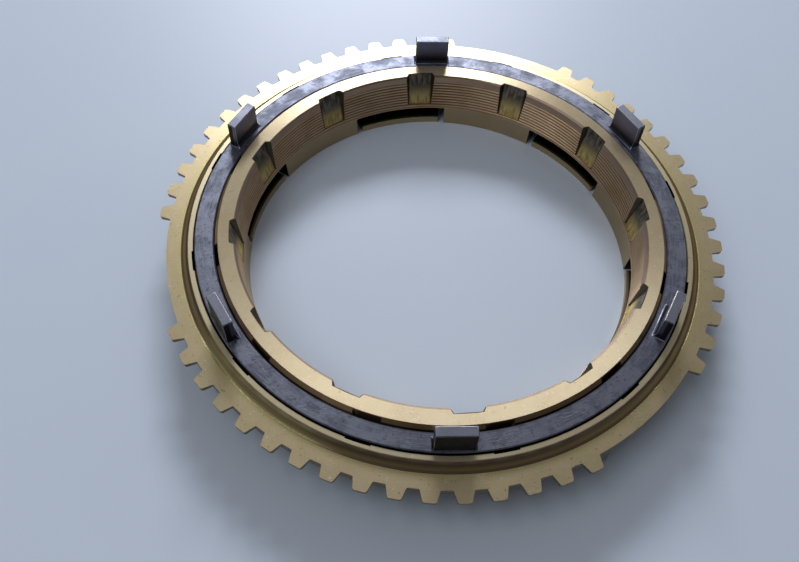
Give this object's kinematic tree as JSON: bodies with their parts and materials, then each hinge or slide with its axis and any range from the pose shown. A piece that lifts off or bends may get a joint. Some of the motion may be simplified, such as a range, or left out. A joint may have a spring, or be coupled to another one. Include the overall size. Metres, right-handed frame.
{
  "type": "synchronizer ring",
  "caption": "Triple-cone synchronizer ring set: a toothed brass baulk ring and a brass inner ring with a tabbed dark steel double cone turning between them.",
  "frame": {"origin": "on the rings' common axis, in the plane of the base that the set rests on", "axes": "+Z along the axis towards the gear, the side that the tabs stand on; +X through an oil groove, with a gap in the teeth centred at 60 degrees"},
  "size_m": [0.13, 0.132, 0.0212],
  "materials": {
    "outer_brass": "fine matt flange with a turned collar",
    "dark_steel": "dark, hardened and scratched",
    "inner_brass": "turned, with a threaded inner cone and stained slots"
  },
  "bodies": {
    "outer_ring": {"outer_ring": "outer_brass"},
    "middle_ring": {"middle_ring": "dark_steel"},
    "inner_ring": {"inner_ring": "inner_brass"}
  },
  "joints": [
    {"name": "middle_ring_spin", "type": "hinge", "parent": "outer_ring", "child": "middle_ring", "pos_m": [0, 0, 0], "axis": [0, 0, 1], "continuous": true},
    {"name": "inner_ring_lash", "type": "hinge", "parent": "outer_ring", "child": "inner_ring", "pos_m": [0, 0, 0], "axis": [0, 0, 1], "range_deg": [-1.5, 1.5]}
  ]
}
